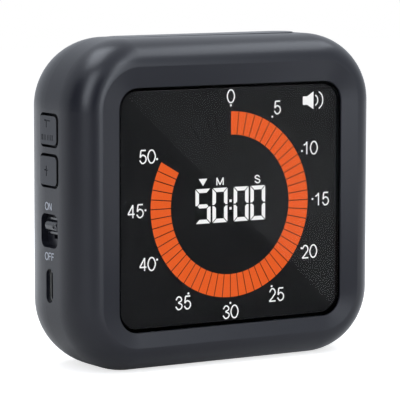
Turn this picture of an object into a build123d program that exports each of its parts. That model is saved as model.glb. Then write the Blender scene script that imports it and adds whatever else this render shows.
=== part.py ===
from build123d import *
import math
import os

# Visual countdown timer. Millimetres. X runs to the right seen from the front, the display
# faces -Y, Z is up, and the origin lies under the middle of the body on the table.

# ------------------------------------------------------------------ housing
BODY_WIDTH = 96.5
BODY_HEIGHT = 89.7           # crown to crown, before the foot is flattened
BODY_DEPTH = 33.6
CORNER_RADIUS = 18.8         # corners of the front view
FRONT_EDGE_IN = 7.0          # front rim: a quarter ellipse, this far in ...
FRONT_EDGE_BACK = 11.2       # ... and this far back
REAR_EDGE_IN = 8.2
REAR_EDGE_FORWARD = 14.8
FOOT_FLAT = 0.25             # shaved off the bottom so that it stands
WALL = 2.0
SKIN_CORE = 1.0              # how far the swept rim runs into the block inside it

# ------------------------------------------------------------------ display window
WINDOW_SIDE_MARGIN = 12.45   # body side to window opening
WINDOW_TOP_MARGIN = 12.0     # crown to window opening, before it is lowered
WINDOW_CORNER = 5.8
WINDOW_DROP = 0.8            # window centre below the body centre
DISH_DEPTH = 0.75            # the bezel slopes in by this much towards the window
DISH_LAND = 0.2              # flat rim left outside the slope
WINDOW_RECESS = 0.45
WINDOW_THICKNESS = 1.0
WINDOW_GAP = 0.1
TAPE_THICKNESS = 0.1
TAPE_GAP = 0.05
LEDGE_WIDTH = 1.0            # seat behind the window's edge
LEDGE_THICKNESS = 1.1

# ------------------------------------------------------------------ liquid crystal display
LCD_GAP = 0.1
LCD_BEHIND_LEDGE = 0.1       # LCD front behind the face of the seat
LCD_THICKNESS = 2.0
INK_THICKNESS = 0.06         # raised segments on the LCD's face
RING_OUTER_RADIUS = 25.4
RING_INNER_RADIUS = 19.1
RING_SEGMENTS = 60           # one for each minute
DISPLAY_TIME = "50:00"       # minutes and seconds shown; the ring shows the minutes
RING_GAP = 0.25
DIGIT_WIDTH = 4.8
DIGIT_HEIGHT = 9.45
DIGIT_STROKE = 1.08
DIGIT_GAP = 0.26
DIGIT_PITCH = 5.45           # between the two digits of a pair
PAIR_PITCH = 12.3            # between the middles of the two pairs
COLON_DOT = 0.7
COLON_PITCH = 2.05

# ------------------------------------------------------------------ display tray and light
TRAY_WALL = 1.9
TRAY_FRONT_GAP = 0.1
TRAY_FLOOR = 1.4
TRAY_SHELF = 1.7             # width of the shelf under the LCD's edge
LIGHT_GUIDE_THICKNESS = 2.8
LIGHT_GUIDE_GAP = 0.2
REFLECTOR_THICKNESS = 0.2
BACKLIGHT_STRIP_THICKNESS = 0.4
LED_COUNT = 6
LED_WIDTH = 3.0
LED_DEPTH = 1.0
LED_HEIGHT = 0.8
EAR_REACH = 3.9              # ear screw outside the tray's edge
EAR_SPREAD = 36.0            # between the two ears on a side
EAR_RADIUS = 3.0
EAR_THICKNESS = 1.8
POST_RADIUS = 2.5            # posts that carry the board
POST_LEFT_X = -28.0
POST_RIGHT_X = 22.0
POST_SPREAD = 44.0
PILOT_RADIUS = 0.85          # for M2 self-tapping screws

# ------------------------------------------------------------------ controls on the left side
FEATURE_Y = -0.25            # the line of keys, switch and socket
KEY_WIDTH = 10.0
KEY_HEIGHT = 9.2
KEY_CORNER = 1.3
KEY_GAP = 0.5                # at the front and rear of a key
KEY_END_GAP = 0.75           # above and below it
KEY_PROUD = 0.3              # face outside the housing's side
KEY_TRAVEL = 0.45
KEY_FLANGE = 0.6
KEY_FLANGE_THICKNESS = 0.85
KEY_FLANGE_GAP = 0.15
EDIT_KEY_Z = 65.1
KEY_PITCH = 10.85
POCKET_WIDTH = 9.2
POCKET_HEIGHT = 9.1
POCKET_CORNER = 2.2
POCKET_DEPTH = 2.2
POCKET_FLOOR = 1.2
POCKET_Z = 38.1
KNOB_TRAVEL = 2.5
KNOB_PLATE_WIDTH = 8.4
KNOB_PLATE_HEIGHT = 4.4
KNOB_PLATE_THICKNESS = 0.55
KNOB_PLATE_GAP = 0.1
KNOB_BARREL_RADIUS = 1.7
KNOB_BARREL_LENGTH = 8.0
KNOB_BARREL_END = 1.5        # rounding of the barrel's ends
KNOB_DIMPLE_RADIUS = 1.6     # dimple for the fingertip, near the barrel's front end
KNOB_DIMPLE_DEPTH = 0.35
KNOB_DIMPLE_FORWARD = 2.2
KNOB_RECESS = 0.25           # barrel top below the housing's side
KNOB_STEM = 1.8
SLOT_GAP = 0.2
LEVER = 0.9
LEVER_GAP = 0.1
USB_Z = 23.25
USB_SLOT_LENGTH = 9.2
USB_SLOT_WIDTH = 3.6
USB_SHELL_LENGTH = 8.94
USB_SHELL_WIDTH = 3.2
USB_SHELL_WALL = 0.3
USB_SHELL_DEPTH = 7.3
USB_MOUTH_RECESS = 1.15
USB_TONGUE_LENGTH = 6.7
USB_TONGUE_THICKNESS = 0.7
USB_TONGUE_BACK = 1.0        # tongue tip behind the mouth
BAY_MARGIN = 1.2             # flat inner wall beyond the key flanges

# ------------------------------------------------------------------ start bar on the top
BAR_END_IN = 19.0            # bar's end inside the body's side
BAR_WIDTH = 9.0
BAR_PROUD_LEFT = 0.05        # top above the crown at the left end
BAR_PROUD_RIGHT = 0.3
BAR_GAP = 0.25
BAR_TRAVEL = 0.6
BAR_EDGE = 0.35
BAR_FLANGE = 1.0
BAR_FLANGE_THICKNESS = 1.0
BAR_FLANGE_DROP = 0.6        # flange top below the wall's inner crown
BAR_STEM = 3.0
BAR_STEM_IN = 7.5            # stem's middle inside the bar's end
BAR_STEM_LENGTH = 5.0
BAR_POST_RADIUS = 2.0
GUIDE_THICKNESS = 1.5
GUIDE_END = 3.0              # plate beyond its screws
GUIDE_WIDTH = 9.6
GUIDE_BELOW_FLANGE = 1.0
GUIDE_SCREW_IN = 15.0        # guide screw inside the body's side
GUIDE_SCREW_LENGTH = 3.6
GUIDE_CLEARANCE = 0.15
GUIDE_BOSS_RADIUS = 2.4

# ------------------------------------------------------------------ switches on the board
TACT_LENGTH = 6.0
TACT_DEPTH = 3.5
TACT_PLUNGER_LENGTH = 2.6
TACT_PLUNGER_WIDTH = 1.4
TACT_PLUNGER_OUT = 0.8
PRESS_GAP = 0.05             # left between a button and its switch when fully pressed
SLIDE_CASE_LENGTH = 8.6
SLIDE_CASE_DEPTH = 3.6
SLIDE_CASE_WALL = 0.4

# ------------------------------------------------------------------ main board
BOARD_THICKNESS = 1.6
BOARD_WALL_GAP = 0.3
BOARD_RIGHT_X = 28.0
BOARD_HEIGHT = 53.0
BOARD_CORNER = 1.5
BOARD_TONGUE_WIDTH = 16.0
CHIP_SIZE = 9.0
CHIP_THICKNESS = 1.0
CHIP_IN = 8.8                # chip's middle inside the board's left edge
FLEX_WIDTH = 30.0
FLEX_THICKNESS = 0.15
FLEX_BEND = 3.0
FLEX_CONNECTOR_HEIGHT = 4.0
FLEX_CONNECTOR_THICKNESS = 2.0
FLEX_CONNECTOR_WIDTH = 32.0

# ------------------------------------------------------------------ battery and speaker
BATTERY_WIDTH = 44.0
BATTERY_HEIGHT = 32.0
BATTERY_THICKNESS = 5.0
BATTERY_X = -4.0
BATTERY_EDGE = 2.2
BATTERY_TAPE_THICKNESS = 0.5
LEAD_RADIUS = 0.5
LEAD_BEND = 2.0
SPEAKER_RADIUS = 10.0
SPEAKER_RIM = 1.5
SPEAKER_DEPTH = 4.2
SPEAKER_MAGNET_RADIUS = 6.0
SPEAKER_GAP = 0.2
SPEAKER_X = 0.0
SPEAKER_WELL_WALL = 1.2
SPEAKER_WELL_DEPTH = 3.0
GASKET_THICKNESS = 0.5
GASKET_WIDTH = 1.6
GRILLE_HOLE_RADIUS = 0.75
GRILLE_RING_STEP = 2.7
GRILLE_RINGS = 3

# ------------------------------------------------------------------ rear cover
COVER_INSET = 1.9            # cover edge inside the flat of the back
COVER_THICKNESS = 2.0
COVER_GAP = 0.15
COVER_EDGE = 0.4
COVER_SEAT_WIDTH = 1.5
COVER_SEAT_THICKNESS = 1.6
COVER_RIB_HEIGHT = 1.2
COVER_RIB_WIDTH = 1.2
COVER_RIB_LENGTH = 36.0
COVER_SCREW_INSET = 5.1      # screw from the cover's edges
COVER_SCREW_RADIUS = 1.2
COVER_SCREW_HEAD_RADIUS = 2.3
COVER_SCREW_HEAD = 1.1
COVER_SCREW_LENGTH = 8.0
COVER_HOLE_RADIUS = 1.45
COVER_SINK_RADIUS = 2.7
COVER_SINK = 1.3
COVER_BOSS_RADIUS = 3.0
COVER_BOSS_FRONT_Y = -4.0
COVER_BOSS_WEB = 1.6
SMALL_SCREW_RADIUS = 1.0
SMALL_SCREW_HEAD_RADIUS = 1.8
SMALL_SCREW_HEAD = 1.1
SMALL_SCREW_LENGTH = 4.4
SCREW_CROSS_WIDTH = 0.5
SCREW_CROSS_DEPTH = 0.6
SCREW_BITE = 0.05            # screw shank stays this far inside its pilot hole's wall

# ------------------------------------------------------------------ places worked out from the sizes
WINDOW_OPENING_WIDTH = BODY_WIDTH - 2 * WINDOW_SIDE_MARGIN
WINDOW_OPENING_HEIGHT = BODY_HEIGHT - 2 * WINDOW_TOP_MARGIN
FRONT_Y = -BODY_DEPTH / 2
REAR_Y = BODY_DEPTH / 2
SIDE_X = -BODY_WIDTH / 2
BODY_Z = BODY_HEIGHT / 2 - FOOT_FLAT
CROWN_Z = BODY_HEIGHT - FOOT_FLAT
INNER_SIDE_X = SIDE_X + WALL
INNER_CROWN_Z = CROWN_Z - WALL
WINDOW_Z = BODY_Z - WINDOW_DROP
WINDOW_FRONT_Y = FRONT_Y + DISH_DEPTH + WINDOW_RECESS
WINDOW_BACK_Y = WINDOW_FRONT_Y + WINDOW_THICKNESS
LEDGE_Y = WINDOW_BACK_Y + TAPE_THICKNESS
INNER_FRONT_Y = LEDGE_Y + LEDGE_THICKNESS
LCD_WIDTH = WINDOW_OPENING_WIDTH - 2 * (LEDGE_WIDTH + LCD_GAP)
LCD_HEIGHT = WINDOW_OPENING_HEIGHT - 2 * (LEDGE_WIDTH + LCD_GAP)
LCD_FRONT_Y = LEDGE_Y + LCD_BEHIND_LEDGE
LCD_BACK_Y = LCD_FRONT_Y + LCD_THICKNESS
LCD_BOTTOM_Z = WINDOW_Z - LCD_HEIGHT / 2
TRAY_WIDTH = LCD_WIDTH + 2 * (LCD_GAP + TRAY_WALL)
TRAY_HEIGHT = LCD_HEIGHT + 2 * (LCD_GAP + TRAY_WALL)
TRAY_FRONT_Y = INNER_FRONT_Y + TRAY_FRONT_GAP
GUIDE_PLATE_FRONT_Y = LCD_BACK_Y + LIGHT_GUIDE_GAP / 2
GUIDE_PLATE_BACK_Y = GUIDE_PLATE_FRONT_Y + LIGHT_GUIDE_THICKNESS
TRAY_FLOOR_Y = GUIDE_PLATE_BACK_Y + REFLECTOR_THICKNESS
TRAY_BACK_Y = TRAY_FLOOR_Y + TRAY_FLOOR
LIGHT_WIDTH = LCD_WIDTH - 2 * TRAY_SHELF
LIGHT_HEIGHT = LCD_HEIGHT - 2 * TRAY_SHELF
EAR_X = TRAY_WIDTH / 2 + EAR_REACH
BOARD_FRONT_Y = FEATURE_Y + USB_SHELL_WIDTH / 2
BOARD_BACK_Y = BOARD_FRONT_Y + BOARD_THICKNESS
KEY_Z = {"edit_key": EDIT_KEY_Z, "adjust_key": EDIT_KEY_Z - KEY_PITCH}
KEY_FLANGE_X = INNER_SIDE_X + KEY_FLANGE_GAP
KEY_BACK_X = KEY_FLANGE_X + KEY_FLANGE_THICKNESS
POCKET_X = SIDE_X + POCKET_DEPTH
POCKET_BACK_X = POCKET_X + POCKET_FLOOR
KNOB_Z = POCKET_Z + KNOB_TRAVEL / 2
BOARD_LEFT_X = POCKET_BACK_X + BOARD_WALL_GAP
CHIP_X = BOARD_LEFT_X + CHIP_IN
TACT_TIP_X = KEY_BACK_X + KEY_TRAVEL + PRESS_GAP
USB_MOUTH_X = SIDE_X + USB_MOUTH_RECESS
BAR_LENGTH = BODY_WIDTH - 2 * BAR_END_IN
BAR_STEM_PITCH = BAR_LENGTH - 2 * BAR_STEM_IN
GUIDE_SCREW_PITCH = BODY_WIDTH - 2 * GUIDE_SCREW_IN
GUIDE_LENGTH = GUIDE_SCREW_PITCH + 2 * GUIDE_END
BAR_FLANGE_TOP_Z = INNER_CROWN_Z - BAR_FLANGE_DROP
BAR_FLANGE_Z = BAR_FLANGE_TOP_Z - BAR_FLANGE_THICKNESS
GUIDE_TOP_Z = BAR_FLANGE_Z - GUIDE_BELOW_FLANGE
GUIDE_Z = GUIDE_TOP_Z - GUIDE_THICKNESS
BAR_POST_Z = GUIDE_Z - 0.2
START_TIP_Z = BAR_POST_Z - BAR_TRAVEL - PRESS_GAP
START_TACT_Z = START_TIP_Z - TACT_PLUNGER_OUT - TACT_DEPTH
BOARD_TOP_Z = START_TACT_Z + TACT_DEPTH
COVER_WIDTH = BODY_WIDTH - 2 * (REAR_EDGE_IN + COVER_INSET)
COVER_HEIGHT = BODY_HEIGHT - 2 * (REAR_EDGE_IN + COVER_INSET)
COVER_CORNER = CORNER_RADIUS - REAR_EDGE_IN - COVER_INSET
COVER_INNER_Y = REAR_Y - COVER_THICKNESS
SEAT_FRONT_Y = COVER_INNER_Y - COVER_SEAT_THICKNESS
COVER_SCREW_X = COVER_WIDTH / 2 - COVER_SCREW_INSET
COVER_SCREW_Z = COVER_HEIGHT / 2 - COVER_SCREW_INSET
BATTERY_FRONT_Y = BOARD_BACK_Y + BATTERY_TAPE_THICKNESS
SPEAKER_BACK_Y = COVER_INNER_Y - GASKET_THICKNESS


# ------------------------------------------------------------------ helpers
def facing(y, x=0.0, z=0.0):
    """Work plane parallel to the display: local x to the right, local y up, normal forwards."""
    return Plane(origin=(x, y, z), x_dir=(1, 0, 0), z_dir=(0, -1, 0))


def slab(sketch, y_front, y_back, x=0.0, z=0.0):
    """Thicken a sketch that is parallel to the display, from y_front to y_back."""
    return extrude(facing(y_back, x, z) * sketch, amount=y_back - y_front)


def side_slab(sketch, x_outer, x_inner, z, y=FEATURE_Y):
    """Thicken a sketch seen from the left, local x to the front and local y up."""
    plane = Plane(origin=(x_inner, y, z), x_dir=(0, -1, 0), z_dir=(-1, 0, 0))
    return extrude(plane * sketch, amount=x_inner - x_outer)


def flat_slab(sketch, z_low, z_high, x=0.0, y=FEATURE_Y):
    """Thicken a level sketch from z_low to z_high."""
    return extrude(Plane(origin=(x, y, z_low)) * sketch, amount=z_high - z_low)


def block(x_low, x_high, y_low, y_high, z_low, z_high):
    """Box given by its limits."""
    middle = ((x_low + x_high) / 2, (y_low + y_high) / 2, (z_low + z_high) / 2)
    return Pos(*middle) * Box(x_high - x_low, y_high - y_low, z_high - z_low)


def rounded_ring(width, height, corner, band):
    """Flat frame with rounded corners, its band measured inwards."""
    inside = RectangleRounded(width - 2 * band, height - 2 * band, max(corner - band, 0.3))
    return RectangleRounded(width, height, corner) - inside


def pillow(inset=0.0):
    """The body's crowned form, or the same form pulled in by inset all over."""
    half_width = BODY_WIDTH / 2 - inset
    half_height = BODY_HEIGHT / 2 - inset
    corner = CORNER_RADIUS - inset
    front, rear = FRONT_Y + inset, REAR_Y - inset
    front_in, front_back = FRONT_EDGE_IN - inset, FRONT_EDGE_BACK - inset
    rear_in, rear_forward = REAR_EDGE_IN - inset, REAR_EDGE_FORWARD - inset
    inner = half_width - max(front_in, rear_in) - SKIN_CORE

    front_arc = EllipticalCenterArc(
        (half_width - front_in, front + front_back), front_in, front_back, start_angle=-90, arc_size=90
    )
    rear_arc = EllipticalCenterArc(
        (half_width - rear_in, rear - rear_forward), rear_in, rear_forward, start_angle=0, arc_size=90
    )
    inner_line = Polyline(rear_arc @ 1, (inner, rear), (inner, front), front_arc @ 0)
    outline = Curve() + [front_arc, Line(front_arc @ 1, rear_arc @ 0), rear_arc, inner_line]
    rim_section = Plane(origin=(0, 0, BODY_Z)) * make_face(outline)

    path = Wire.make_polygon(
        [
            (half_width, 0, BODY_Z),
            (half_width, 0, BODY_Z + half_height),
            (-half_width, 0, BODY_Z + half_height),
            (-half_width, 0, BODY_Z - half_height),
            (half_width, 0, BODY_Z - half_height),
        ]
    )
    corners = [vertex for vertex in path.vertices() if abs(vertex.Z - BODY_Z) > half_height / 2]
    rim = sweep(rim_section, path=path.fillet_2d(corner, corners))

    band = half_width - inner - SKIN_CORE / 2
    core = RectangleRounded(2 * (half_width - band), 2 * (half_height - band), corner - band)
    return rim + slab(core, front, rear, z=BODY_Z)


def pan_screw(shank_radius, length, head_radius, head_height):
    """Pan-head screw with a cross recess, its head's seat at the origin, pointing along +Z."""
    head = Pos(0, 0, -head_height / 2) * Cylinder(head_radius, head_height)
    head = fillet(head.edges().sort_by(Axis.Z)[0], head_height * 0.5)
    shank = Pos(0, 0, length / 2) * Cylinder(shank_radius, length)
    arm = Box(head_radius * 1.2, SCREW_CROSS_WIDTH, SCREW_CROSS_DEPTH * 2)
    cross = Pos(0, 0, -head_height) * (arm + Rot(0, 0, 90) * arm)
    return head + shank - cross


def screws(places, direction, shank_radius, length, head_radius, head_height):
    """Copies of one screw, each pointing along direction from its place."""
    screw = pan_screw(shank_radius, length, head_radius, head_height)
    return [Plane(origin=place, z_dir=direction) * screw for place in places]


def small_screws(places, direction, length=SMALL_SCREW_LENGTH):
    radius = PILOT_RADIUS - SCREW_BITE
    return screws(places, direction, radius, length, SMALL_SCREW_HEAD_RADIUS, SMALL_SCREW_HEAD)


def tact_switch(key_z, tip, out):
    """Side-push switch on the board's front face: a case and its plunger, plunger tip at tip.

    key_z is the height of the side key that it serves, or None for the one under the start bar.
    """
    case_front = tip - out * TACT_PLUNGER_OUT
    case_back = case_front - out * TACT_DEPTH
    thickness = BOARD_FRONT_Y - FEATURE_Y
    low, high = min(case_front, case_back), max(case_front, case_back)
    stem_low, stem_high = min(case_front, tip), max(case_front, tip)
    half, half_stem, half_width = TACT_LENGTH / 2, TACT_PLUNGER_LENGTH / 2, TACT_PLUNGER_WIDTH / 2
    if key_z is None:
        case = block(-half, half, FEATURE_Y - thickness, BOARD_FRONT_Y, low, high)
        stem = block(
            -half_stem, half_stem, FEATURE_Y - half_width, FEATURE_Y + half_width, stem_low, stem_high
        )
    else:
        case = block(low, high, FEATURE_Y - thickness, BOARD_FRONT_Y, key_z - half, key_z + half)
        stem = block(
            stem_low, stem_high, FEATURE_Y - half_width, FEATURE_Y + half_width,
            key_z - half_stem, key_z + half_stem,
        )
    return [case, stem]


def lead(points, bend):
    """Round insulated wire along straight runs and tangent arcs."""
    path = FilletPolyline(*points, radius=bend)
    section = Plane(origin=path @ 0, z_dir=path % 0) * Circle(LEAD_RADIUS)
    return sweep(section, path=path)


def ear_places(y):
    return [(sx * EAR_X, y, BODY_Z + sz * EAR_SPREAD / 2) for sx in (-1, 1) for sz in (-1, 1)]


def post_places(y):
    rows = (BODY_Z - POST_SPREAD / 2, BODY_Z + POST_SPREAD / 2)
    return [(x, y, z) for x in (POST_LEFT_X, POST_RIGHT_X) for z in rows]


def cover_screw_places(y):
    return [(sx * COVER_SCREW_X, y, BODY_Z + sz * COVER_SCREW_Z) for sx in (-1, 1) for sz in (-1, 1)]


def rod(place, radius, y_front, y_back):
    """Round bar along Y through a place."""
    return slab(Circle(radius), y_front, y_back, x=place[0], z=place[2])


# ------------------------------------------------------------------ housing
def bezel_dish():
    """The shallow funnel between the front rim and the window."""
    inset = FRONT_EDGE_IN + DISH_LAND
    rim = RectangleRounded(BODY_WIDTH - 2 * inset, BODY_HEIGHT - 2 * inset, CORNER_RADIUS - inset)
    mouth = RectangleRounded(WINDOW_OPENING_WIDTH, WINDOW_OPENING_HEIGHT, WINDOW_CORNER)
    outer = facing(FRONT_Y, z=BODY_Z) * rim
    inner = facing(FRONT_Y + DISH_DEPTH, z=WINDOW_Z) * mouth
    return loft([outer.face(), inner.face()])


def cover_boss(place):
    """Screw boss with a web that ties it to the corner of the wall."""
    boss = rod(place, COVER_BOSS_RADIUS, COVER_BOSS_FRONT_Y, COVER_INNER_Y)
    centre_x = math.copysign(BODY_WIDTH / 2 - CORNER_RADIUS, place[0])
    centre_z = BODY_Z + math.copysign(BODY_HEIGHT / 2 - CORNER_RADIUS, place[2] - BODY_Z)
    angle = math.degrees(math.atan2(place[2] - centre_z, place[0] - centre_x))
    web = Pos(CORNER_RADIUS / 2, 0) * Rectangle(CORNER_RADIUS, COVER_BOSS_WEB)
    return boss + slab(Rot(0, 0, angle) * web, COVER_BOSS_FRONT_Y, SEAT_FRONT_Y, x=place[0], z=place[2])


def front_housing():
    body = pillow()
    body -= bezel_dish()
    opening = RectangleRounded(WINDOW_OPENING_WIDTH, WINDOW_OPENING_HEIGHT, WINDOW_CORNER)
    body -= slab(opening, FRONT_Y, LEDGE_Y, z=WINDOW_Z)
    aperture = RectangleRounded(
        WINDOW_OPENING_WIDTH - 2 * LEDGE_WIDTH,
        WINDOW_OPENING_HEIGHT - 2 * LEDGE_WIDTH,
        WINDOW_CORNER - LEDGE_WIDTH,
    )
    body -= slab(aperture, FRONT_Y, 0, z=WINDOW_Z)

    room = block(-BODY_WIDTH, BODY_WIDTH, INNER_FRONT_Y, SEAT_FRONT_Y, -BODY_HEIGHT, 2 * BODY_HEIGHT)
    cavity = pillow(WALL) & room
    body -= cavity
    rebate = RectangleRounded(
        COVER_WIDTH + 2 * COVER_GAP, COVER_HEIGHT + 2 * COVER_GAP, COVER_CORNER + COVER_GAP
    )
    body -= slab(rebate, COVER_INNER_Y, REAR_Y + 1, z=BODY_Z)
    hatch = RectangleRounded(
        COVER_WIDTH - 2 * COVER_SEAT_WIDTH,
        COVER_HEIGHT - 2 * COVER_SEAT_WIDTH,
        COVER_CORNER - COVER_SEAT_WIDTH,
    )
    body -= slab(hatch, 0, REAR_Y, z=BODY_Z)

    # flat inner wall behind the keys, the switch and the socket
    bay_half = KEY_WIDTH / 2 + KEY_FLANGE + BAY_MARGIN
    bay_low = USB_Z - USB_SLOT_LENGTH / 2 - BAY_MARGIN
    bay_high = EDIT_KEY_Z + KEY_HEIGHT / 2 + KEY_FLANGE + BAY_MARGIN
    body -= block(
        INNER_SIDE_X, INNER_SIDE_X + WALL, FEATURE_Y - bay_half, FEATURE_Y + bay_half, bay_low, bay_high
    )
    pocket_floor = RectangleRounded(POCKET_WIDTH + 2, POCKET_HEIGHT + 2, POCKET_CORNER + 1)
    body += side_slab(pocket_floor, INNER_SIDE_X, POCKET_BACK_X, POCKET_Z)

    inside = pillow(WALL / 2)
    for place in cover_screw_places(COVER_INNER_Y):
        body += cover_boss(place) & inside
    for place in ear_places(0):
        body += rod(place, EAR_RADIUS, INNER_FRONT_Y - LEDGE_THICKNESS / 2, TRAY_BACK_Y - EAR_THICKNESS)
    for x in (-GUIDE_SCREW_PITCH / 2, GUIDE_SCREW_PITCH / 2):
        body += flat_slab(Circle(GUIDE_BOSS_RADIUS), GUIDE_TOP_Z, INNER_CROWN_Z, x=x)

    for place in cover_screw_places(COVER_INNER_Y):
        pilot_depth = COVER_SCREW_LENGTH + 1
        body -= rod(place, COVER_SCREW_RADIUS + SCREW_BITE, COVER_INNER_Y - pilot_depth, COVER_INNER_Y)
    for place in ear_places(0):
        body -= rod(place, PILOT_RADIUS, INNER_FRONT_Y, TRAY_BACK_Y - EAR_THICKNESS)
    for x in (-GUIDE_SCREW_PITCH / 2, GUIDE_SCREW_PITCH / 2):
        pilot_top = GUIDE_Z + GUIDE_SCREW_LENGTH + 0.1
        body -= flat_slab(Circle(PILOT_RADIUS), GUIDE_TOP_Z, pilot_top, x=x)

    key_hole = RectangleRounded(KEY_WIDTH, KEY_HEIGHT, KEY_CORNER + KEY_GAP)
    for z in KEY_Z.values():
        body -= side_slab(key_hole, SIDE_X - 1, INNER_SIDE_X + 1, z)
    pocket = RectangleRounded(POCKET_WIDTH, POCKET_HEIGHT, POCKET_CORNER)
    body -= side_slab(pocket, SIDE_X - 1, POCKET_X, POCKET_Z)
    stem_slot = Rectangle(KNOB_STEM + 2 * SLOT_GAP, KNOB_STEM + KNOB_TRAVEL + 2 * SLOT_GAP)
    body -= side_slab(stem_slot, SIDE_X, POCKET_BACK_X + 1, POCKET_Z)
    usb_slot = SlotOverall(USB_SLOT_LENGTH, USB_SLOT_WIDTH, rotation=90)
    body -= side_slab(usb_slot, SIDE_X - 1, INNER_SIDE_X + 1, USB_Z)
    bar_slot = SlotOverall(BAR_LENGTH + 2 * BAR_GAP, BAR_WIDTH + 2 * BAR_GAP)
    body -= flat_slab(bar_slot, INNER_CROWN_Z - WALL, CROWN_Z + 1)

    foot = block(-BODY_WIDTH, BODY_WIDTH, -BODY_DEPTH, BODY_DEPTH, -2 * FOOT_FLAT, 0)
    return body - foot


# ------------------------------------------------------------------ window and display
def front_window():
    pane = RectangleRounded(
        WINDOW_OPENING_WIDTH - 2 * WINDOW_GAP, WINDOW_OPENING_HEIGHT - 2 * WINDOW_GAP,
        WINDOW_CORNER - WINDOW_GAP,
    )
    return slab(pane, WINDOW_FRONT_Y, WINDOW_BACK_Y, z=WINDOW_Z)


def window_tape():
    frame = rounded_ring(
        WINDOW_OPENING_WIDTH - 2 * WINDOW_GAP, WINDOW_OPENING_HEIGHT - 2 * WINDOW_GAP,
        WINDOW_CORNER - WINDOW_GAP, LEDGE_WIDTH - WINDOW_GAP - TAPE_GAP,
    )
    return slab(frame, WINDOW_BACK_Y, LEDGE_Y, z=WINDOW_Z)


def lcd_cell():
    glass = RectangleRounded(LCD_WIDTH, LCD_HEIGHT, WINDOW_CORNER - LEDGE_WIDTH - LCD_GAP)
    return slab(glass, LCD_FRONT_Y, LCD_BACK_Y, z=WINDOW_Z)


def ring_segments():
    """The minute ring, one solid a minute, clockwise from the top."""
    radius = (RING_OUTER_RADIUS + RING_INNER_RADIUS) / 2
    spoke = Rectangle(2 * (RING_OUTER_RADIUS - RING_INNER_RADIUS), RING_GAP)
    spokes = [place * spoke for place in PolarLocations(radius, RING_SEGMENTS, start_angle=90)]
    faces = (Circle(RING_OUTER_RADIUS) - Circle(RING_INNER_RADIUS) - spokes).faces()

    def minute(face):
        return math.atan2(face.center().X, face.center().Y) % (2 * math.pi)

    ordered = sorted(faces, key=minute)
    solids = [
        slab(face, LCD_FRONT_Y - INK_THICKNESS, LCD_FRONT_Y, z=WINDOW_Z).solid() for face in ordered
    ]
    minutes = int(DISPLAY_TIME[:2])
    return solids[:minutes], solids[minutes:]


def stroke_outline(name):
    """Corners of one bar of a seven-segment digit, mitred where two bars meet."""
    half_w, half_h, t = DIGIT_WIDTH / 2, DIGIT_HEIGHT / 2, DIGIT_STROKE
    cut = DIGIT_GAP / math.sqrt(2)
    if name in "ad":
        top = [(-half_w + cut, half_h), (half_w - cut, half_h)]
        points = top + [(half_w - t - cut, half_h - t), (-half_w + t + cut, half_h - t)]
        return points if name == "a" else [(x, -z) for x, z in points]
    if name == "g":
        mid = t / 2
        reach = half_w - mid - cut
        tip = reach - mid
        return [(-reach, 0), (-tip, mid), (tip, mid), (reach, 0), (tip, -mid), (-tip, -mid)]
    foot = t / 2 + cut
    points = [
        (half_w, half_h - cut), (half_w, cut), (half_w - t / 2, cut),
        (half_w - t, foot), (half_w - t, half_h - t - cut),
    ]
    flip_x = -1 if name in "ef" else 1
    flip_z = -1 if name in "ce" else 1
    return [(flip_x * x, flip_z * z) for x, z in points]


def time_digits():
    """The lit bars of the time shown with its colon, and the bars that stay dark."""
    lit_bars = {
        "0": "abcdef", "1": "bc", "2": "abged", "3": "abgcd", "4": "fgbc",
        "5": "afgcd", "6": "afgcde", "7": "abc", "8": "abcdefg", "9": "abcdfg",
    }
    lit, dark = [], []
    middles = [
        pair * PAIR_PITCH / 2 + side * DIGIT_PITCH / 2 for pair in (-1, 1) for side in (-1, 1)
    ]
    for digit, x in zip(DISPLAY_TIME.replace(":", ""), middles):
        for name in "abcdefg":
            outline = make_face(Polyline(*stroke_outline(name), close=True))
            bar = slab(outline, LCD_FRONT_Y - INK_THICKNESS, LCD_FRONT_Y, x=x, z=WINDOW_Z).solid()
            (lit if name in lit_bars[digit] else dark).append(bar)
    for z in (-COLON_PITCH / 2, COLON_PITCH / 2):
        dot = Rectangle(COLON_DOT, COLON_DOT)
        lit.append(slab(dot, LCD_FRONT_Y - INK_THICKNESS, LCD_FRONT_Y, z=WINDOW_Z + z).solid())
    return lit, dark


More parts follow.
